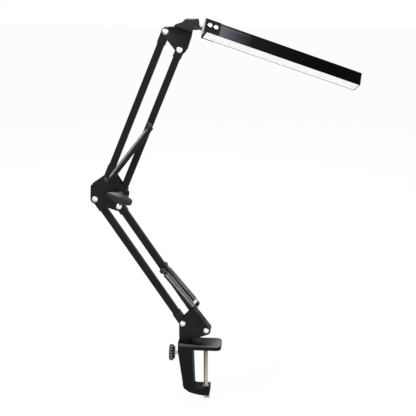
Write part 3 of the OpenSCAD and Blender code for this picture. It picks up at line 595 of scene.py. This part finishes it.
def softened(node, width, finish, segments=2):
    source = nodes[node]
    piece = bpy.data.objects.new(node + "_soft", source.data.copy())
    bpy.context.collection.objects.link(piece)
    piece.matrix_world = source.matrix_world
    only(piece)
    bpy.ops.object.mode_set(mode="EDIT")
    bpy.ops.mesh.select_all(action="SELECT")
    bpy.ops.mesh.remove_doubles(threshold=same_point)
    bpy.ops.mesh.dissolve_limited(angle_limit=same_face)
    bpy.ops.mesh.select_all(action="DESELECT")
    bpy.ops.object.mode_set(mode="OBJECT")
    bevel = piece.modifiers.new("edge", "BEVEL")
    bevel.width = width * MM
    bevel.segments = segments
    bevel.limit_method = "ANGLE"
    bevel.angle_limit = sharp_edge
    bevel.use_clamp_overlap = True
    bpy.ops.object.modifier_apply(modifier=bevel.name)
    bpy.ops.object.shade_smooth_by_angle(angle=smooth_under)
    return stand_for(piece, node, finish)


for node, width, finish in (
    ("base_bracket", 0.3, bracket_coat),
    ("elbow_near_plate", 0.35, bracket_coat),
    ("elbow_far_plate", 0.35, bracket_coat),
    ("head_bracket", 0.3, head_bracket_coat),
    ("lower_left_sleeves", 0.5, sleeve_plastic),
    ("lower_right_sleeves", 0.5, sleeve_plastic),
    ("upper_left_sleeves", 0.5, sleeve_plastic),
    ("upper_right_sleeves", 0.5, sleeve_plastic),
    ("lock_knob", 0.25, wheel_plastic),
    ("pressure_pad", 0.5, pad_rubber),
    ("tommy_caps", 0.35, thread_steel),
    ("knuckle", 0.4, dark_steel),
    ("end_plate", 0.2, pin_steel),
    ("sleeve_cover", 0.2, cover_coat),
    ("left_end_cap", 0.3, cap_plastic),
    ("right_end_cap", 0.3, cap_plastic),
    ("base_spring_studs", 0.25, dark_steel),
    ("lower_anchor_pin", 0.4, dark_steel),
    ("upper_anchor_pin", 0.4, dark_steel),
    ("elbow_spring_pin", 0.25, dark_steel),
    ("tilt_pin", 0.2, dark_steel),
    ("cord_grommet", 0.3, grommet_rubber),
):
    piece = softened(node, width, finish)
    print(piece.name, len(piece.data.polygons), "faces")

# %% [markdown]
# ## Clamp frame
# The clamp is one casting: a plate with a crowned top, a tapering web and a short lower jaw. It could be
# modelled again from a box, but the solid already has its exact shape. Casting rounds its edges more than
# tumbling rounds sheet steel's, so only its bevel differs: it is wider and has one more segment.

# %% Clamp frame
clamp = softened("clamp_frame", 0.9, clamp_coat, segments=3)
print("clamp frame", len(clamp.data.polygons), "faces")

# %% [markdown]
# ## Clamp screw
# The screw is a 6 mm rod with a thread of 1 mm pitch. A thread could be drawn by bump, but its teeth show
# against the white ground, so it is real: the outline of one tooth is turned about the axis while it
# climbs one pitch a turn. A plain core, a collar for the tommy bar and a slim tip fill it.

# %% The thread
screw_low, screw_high, thread_low, pitch = -74.4, -4.7, -68.4, 1.0
root_r, crest_r = 2.52, 2.98
crest_low, crest_high = 0.42, 0.58
steps_a_turn = 28
turns = int((screw_high - thread_low) / pitch)
outline = bpy.data.meshes.new("screw_thread")
tooth = [(root_r, 0), (crest_r, crest_low), (crest_r, crest_high), (root_r, pitch)]
outline.from_pydata([(r * MM, 0, z * MM) for r, z in tooth], [(0, 1), (1, 2), (2, 3)], [])
thread = bpy.data.objects.new("screw_thread", outline)
bpy.context.collection.objects.link(thread)
only(thread)
climb = thread.modifiers.new("climb", "SCREW")
climb.axis = "Z"
climb.angle = math.tau
climb.screw_offset = pitch * MM
climb.iterations = turns
climb.steps = climb.render_steps = steps_a_turn
climb.use_merge_vertices = True
climb.merge_threshold = 1e-6
bpy.ops.object.modifier_apply(modifier=climb.name)
thread.data.transform(Matrix.Translation((0, 0, thread_low * MM)))
bpy.ops.object.mode_set(mode="EDIT")
bpy.ops.mesh.select_all(action="SELECT")
bpy.ops.mesh.normals_make_consistent(inside=False)
bpy.ops.object.mode_set(mode="OBJECT")
print("thread:", turns, "turns")

# %% The rod
def rod(radius, low, high, bevel=0.3, sides=40):
    """A turned rod along Z with bevelled ends, in millimetres."""
    bpy.ops.object.select_all(action="DESELECT")
    bpy.ops.mesh.primitive_cylinder_add(vertices=sides, radius=radius * MM, depth=(high - low) * MM,
                                        location=(0, 0, (low + high) / 2 * MM))
    made = bpy.context.object
    made.data.transform(made.matrix_world)
    made.matrix_world = Matrix.Identity(4)
    edge = made.modifiers.new("edge", "BEVEL")
    edge.width = bevel * MM
    edge.segments = 2
    edge.limit_method = "ANGLE"
    bpy.ops.object.modifier_apply(modifier=edge.name)
    bpy.ops.object.shade_smooth_by_angle(angle=math.radians(40))
    return made


def joined(parts, main):
    """The parts become one mesh, that of the main part."""
    only(main)
    for part in parts:
        part.select_set(True)
    bpy.ops.object.join()
    return main


core_r, collar_r, tip_r = 2.55, 3.0, 1.98
inside, lap, tip_root, tip_out, collar_round = 0.2, 0.3, 1, 1.5, 0.5
core = rod(core_r, screw_low + inside, screw_high)
collar = rod(collar_r, screw_low, thread_low + lap, collar_round)
tip = rod(tip_r, screw_high - tip_root, screw_high + tip_out)
joined((core, collar, tip), thread)
thread.name = "threaded_screw"
bpy.ops.object.shade_smooth_by_angle(angle=math.radians(25))
stand_for(thread, "clamp_screw", thread_steel)
print("screw:", len(thread.data.polygons), "faces")

# %% [markdown]
# ## Wing knob
# The knob that locks the elbow is a soft moulded wing on a round hub: thin at its left tip, full in the
# middle and blunt at its right end. Sculpting would give it too, but hardly twice the same. Here a box is
# cut into slices, each slice gets its height and depth as a share of the box, and a subdivision surface
# rounds it. The result is then brought to given half sizes at the knob insert's middle.

# %% The wing
wing_half = (0.017, 0.0033, 0.0067)
slices = {-17: (0.36, 0.6), -12: (0.52, 0.8), -6: (0.9, 0.95), 0: (1.06, 1.0),
          6: (0.96, 1.0), 12: (0.78, 1.0), 17.5: (0.55, 0.9)}
bpy.ops.object.select_all(action="DESELECT")
bpy.ops.mesh.primitive_cube_add(size=1)
wing = bpy.context.object
wing.name = "wing"
wing.data.transform(Matrix.Diagonal((*(2 * half for half in wing_half), 1)))
bpy.ops.object.mode_set(mode="EDIT")
for x in list(slices)[1:-1]:
    bpy.ops.mesh.select_all(action="SELECT")
    bpy.ops.mesh.bisect(plane_co=(x * MM, 0, 0), plane_no=(1, 0, 0))
for axis in ((0, 1, 0), (0, 0, 1)):
    bpy.ops.mesh.select_all(action="SELECT")
    bpy.ops.mesh.bisect(plane_co=(0, 0, 0), plane_no=axis)
bpy.ops.object.mode_set(mode="OBJECT")
for vertex in wing.data.vertices:
    tall, deep = slices[min(slices, key=lambda x: abs(x - vertex.co.x / MM))]
    vertex.co.z *= tall
    vertex.co.y *= deep
round_off = wing.modifiers.new("round", "SUBSURF")
round_off.levels = round_off.render_levels = 3
bpy.ops.object.modifier_apply(modifier=round_off.name)
print("wing:", len(wing.data.polygons), "faces")

# %% [markdown]
# The rounding has shrunk the box, so the wing is first scaled back to its half sizes. It leans 21
# degrees, and its middle lies a little to the right of the hub's. The hub is a plain turned rod between
# the wing and the elbow, laid along Y.

# %% Wing on its hub
wing_y, wing_off, wing_lean = -0.0198, 0.0008, math.radians(21)
hub_r, hub_from, hub_to, hub_round = 6.0, 7.4, 18.5, 1.0
low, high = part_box("knob_insert")
knob_centre = Vector(((low.x + high.x) / 2, 0, (low.z + high.z) / 2))
wing_turn = Matrix.Rotation(wing_lean, 4, "Y")
reach = [max(abs(v.co[i]) for v in wing.data.vertices) for i in range(3)]
wing.data.transform(Matrix.Diagonal((*(half / far for half, far in zip(wing_half, reach)), 1)))
wing.data.transform(Matrix.Translation(knob_centre + Vector((0, wing_y, 0)))
                    @ wing_turn @ Matrix.Translation((wing_off, 0, 0)))
only(wing)
bpy.ops.object.shade_smooth()
hub = rod(hub_r, hub_from, hub_to, hub_round)
hub.data.transform(Matrix.Translation(knob_centre) @ Matrix.Rotation(math.radians(90), 4, "X"))
joined((hub,), wing)
wing.name = "wing_knob_soft"
print("knob centre", [round(v, 4) for v in knob_centre])

# %% [markdown]
# The knob's plastic is a dark grey rather than black. A painted highlight lies on its upper left shoulder,
# where the light would catch it. That patch lies where the surface is high along the wing's own up and
# left, so two ramps multiplied make it.

# %% Wing knob plastic
knob_plastic = grained("knob_plastic", 0.24, 1400, 0.0001, 0.25)
wing_up, wing_way = wing_turn @ Vector((0, 0, 1)), wing_turn @ Vector((1, 0, 0))
shoulder_from, shoulder_fade, left_from, left_fade = 0.0012, 0.0022, -0.011, 0.016
shoulder_highlight = knob_plastic.along(wing_up, knob_centre.dot(wing_up) + shoulder_from, shoulder_fade)
left = 1 - knob_plastic.along(wing_way, knob_centre.dot(wing_way) + left_from, left_fade)
dull = knob_plastic.blend(knob_plastic.noise(60, 4), (0.008, 0.008, 0.0085), (0.014, 0.014, 0.015))
# painted highlight on the upper left shoulder
knob_plastic.set(base_color=knob_plastic.blend(shoulder_highlight * (0.1 + left * 0.9), dull, (0.22, 0.22, 0.22)))
stand_for(wing, "wing_knob", knob_plastic)
print("wing knob:", len(wing.data.polygons), "faces")

# %% [markdown]
# ## Springs
# Four extension springs of 1.1 mm wire carry the arms. Each is one unbroken wire: a hook, a short way in,
# a close-wound coil, and the same again at the other end. A Screw modifier could turn the coil alone, but
# not its hooks. So a curve follows the wire's middle line, its bevel gives the wire, and it becomes a
# mesh.

# %% The wire's line
wire, coil_d, stud_d, stud_gap = 1.1, 8.0, 3.2, 0.3
hook_r, coil_r = stud_d / 2 + stud_gap + wire / 2, (coil_d - wire) / 2
run_in, lead, hook_turn = 4.2, 3.4, 240
hook_steps, lead_steps, curl_steps = 16, 8, 14


def on_circle(radius, degrees):
    return radius * math.cos(math.radians(degrees)), radius * math.sin(math.radians(degrees))


def wire_line(length, shift, curls):
    """The wire's middle line: x along the spring, y in depth, z across it, in millimetres."""
    climb = (length - 2 * run_in - lead) / curls
    off = shift - hook_r
    first = 0 if off > 0 else 180
    hook_from = 270 - hook_turn
    c, s = on_circle(1, hook_from)
    line = [(hook_r * c + wire * s, 0, shift + hook_r * s - wire * c)]
    for i in range(hook_steps + 1):
        x, z = on_circle(hook_r, hook_from + hook_turn * i / hook_steps)
        line.append((x, 0, shift + z))
    for i in range(lead_steps):
        k = i / lead_steps
        z, y = on_circle(abs(off) + (coil_r - abs(off)) * k, first + 90 * k * k)
        line.append((run_in + lead * (k - k * k / 2) + climb * k * k / 4, y, z))
    end = [(length - x, -y, z) for x, y, z in reversed(line)]
    coil_from = run_in + lead / 2 + climb / 4
    coil_steps = int((curls - 0.5) * curl_steps)
    for i in range(coil_steps + 1):
        k = i / coil_steps
        z, y = on_circle(coil_r, first + 90 + 360 * (curls - 0.5) * k)
        line.append((coil_from + (length - 2 * coil_from) * k, y, z))
    return line + end


print("points in a wire of 46 curls:", len(wire_line(90, 0, 46)))

# %% [markdown]
# The springs are blackened, and painted highlights run along them as bright lines: two on the lower
# springs, one near the edge of the upper ones. Each curl is too thin to mask by itself. A ramp across the
# whole spring colours every curl at the same height, so the lines run straight over all of them.

# %% Steel with painted highlight lines
two_lines = [(0, 0.02), (0.45, 0.06), (0.62, 0.4), (0.76, 0.12), (1, 0.3)]
one_line = [(0, 0.015), (0.55, 0.03), (0.7, 0.12), (0.82, 0.42), (0.93, 0.2), (1, 0.08)]


def highlight_lined_steel(name, origin, across, bands):
    """Blackened steel with painted highlights as bright lines: the bands are shares of the spring's width and
    their levels.
    """
    steel = Finish(name)
    share = steel.along(across, (origin.dot(across) - coil_d / 2) * MM, coil_d * MM)
    # painted highlights: bright lines along the spring
    colour = steel.node("ShaderNodeValToRGB", {"stops": [(at, (v, v, v)) for at, v in bands]}, {"Fac": share})
    smear = steel.noise(60, 3)
    steel.set(base_color=steel.blend(smear * 0.3, colour, (0.05, 0.05, 0.052)), metallic=1.0)
    steel.set(roughness=0.42 + smear * 0.1, normal=steel.bump(smear, 0.05, 0.00004))
    return steel


print("lines on a lower and an upper spring:", len(two_lines), len(one_line), "stops")

# %% [markdown]
# A spring hangs between a stud and an anchor pin, which sit on two bodies. Its wire is laid between the
# two points in the arms' plane, on one side of it.

# %% A spring
spring_y = 11.8


def spring(node, start_at, end_at, shift, side, curls, bright_side, bands):
    """A spring from one pin to the other, and the points at its two ends."""
    way = Vector((end_at[0] - start_at[0], 0, end_at[1] - start_at[1]))
    along, across, up = way.normalized(), Vector((0, 1, 0)), Vector((-way.z, 0, way.x)).normalized()
    origin = Vector((start_at[0], side * spring_y, start_at[1])) - up * shift
    track = bpy.data.curves.new(node + "_wire", "CURVE")
    track.dimensions = "3D"
    track.bevel_depth = wire / 2 * MM
    track.bevel_resolution = 2
    track.use_fill_caps = True
    line = wire_line(way.length, shift, curls)
    spline = track.splines.new("POLY")
    spline.points.add(len(line) - 1)
    for point, (x, y, z) in zip(spline.points, line):
        point.co = (*((origin + along * x + across * y + up * z) * MM), 1)
    piece = bpy.data.objects.new(node + "_wire", track)
    bpy.context.collection.objects.link(piece)
    only(piece)
    bpy.ops.object.convert(target="MESH")
    piece = bpy.context.object
    bpy.ops.object.shade_smooth()
    piece.data.materials.clear()
    piece.data.materials.append(highlight_lined_steel(node + "_steel", origin, up * bright_side, bands).material)
    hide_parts(node)
    return piece, origin * MM, (origin + way) * MM


print("springs lie", spring_y, "mm from the arms' middle plane")

# %% [markdown]
# The pins' places follow from the base's left pin, the length of a section and the lean of each arm, as
# they do in the solids. Reading them off a picture would leave the hooks beside their pins.

# %% The four springs
def toward(degrees, length):
    return Vector(on_circle(length, degrees))


section, lower_lean, upper_lean = 203.3, 123.9, 67.5
base_left = Vector((-30.1, 34.3))
base_right = base_left + toward(-16.3, 32.7)
elbow_left = base_left + toward(lower_lean, section)
elbow_spring = elbow_left + Vector((16.5, 27.9))
elbow_right = elbow_spring + toward(-52.2, 28.3)
stud = base_left + Vector((18.2, 22.6))
lower_anchor = base_right + toward(lower_lean, section / 2)
upper_anchor = elbow_right + toward(upper_lean, section / 2)
lower = (stud, lower_anchor, 0), (46, -1, two_lines), ("base", "lower_right_bar")
upper = (elbow_spring, upper_anchor, 3.6), (66, 1, one_line), ("elbow", "upper_right_bar")
for name, side, (hung, looks, bodies) in (
    ("lower_spring_near", -1, lower),
    ("lower_spring_far", 1, lower),
    ("upper_spring_near", -1, upper),
    ("upper_spring_far", 1, upper),
):
    piece, from_here, to_there = spring(name, *hung, side, *looks)
    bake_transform(piece)
    print(piece.name, looks[0], "curls,", len(piece.data.polygons), "faces")

# %% [markdown]
# ## Finishes on the plain solids
# The rest of the pieces are turned, extruded or punched, small or inside the lamp. New meshes for them
# would show nothing more, so they keep their exact solids and only get their finish.

# %% Finishes on the plain solids
plain = {
    "post_bush": bush_plastic, "threaded_bush": dark_steel, "tommy_bar": thread_steel, "lock_stud": pin_steel,
    "base_post": dark_steel, "base_pins": pin_steel, "elbow_pins": pin_steel, "head_pins": pin_steel,
    "lower_left_tube": tube_coat, "lower_right_tube": tube_coat, "upper_left_tube": tube_coat,
    "upper_right_tube": tube_coat, "knob_bolt": pin_steel, "knob_insert": insert_brass,
    "swing_pin": pin_steel, "roll_rivet": pin_steel, "head_housing": housing_anodised,
    "cover_screws": zinc, "led_board": board_mask, "led_chips": chip_phosphor, "diffuser": opal, **cap_chrome,
}
for node, finish in plain.items():
    nodes[node].data.materials.clear()
    nodes[node].data.materials.append(finish.material)
bare_nodes = [n for n in nodes if n not in plain and not nodes[n].hide_render]
print("solids kept:", len(plain), "without a finish:", bare_nodes)
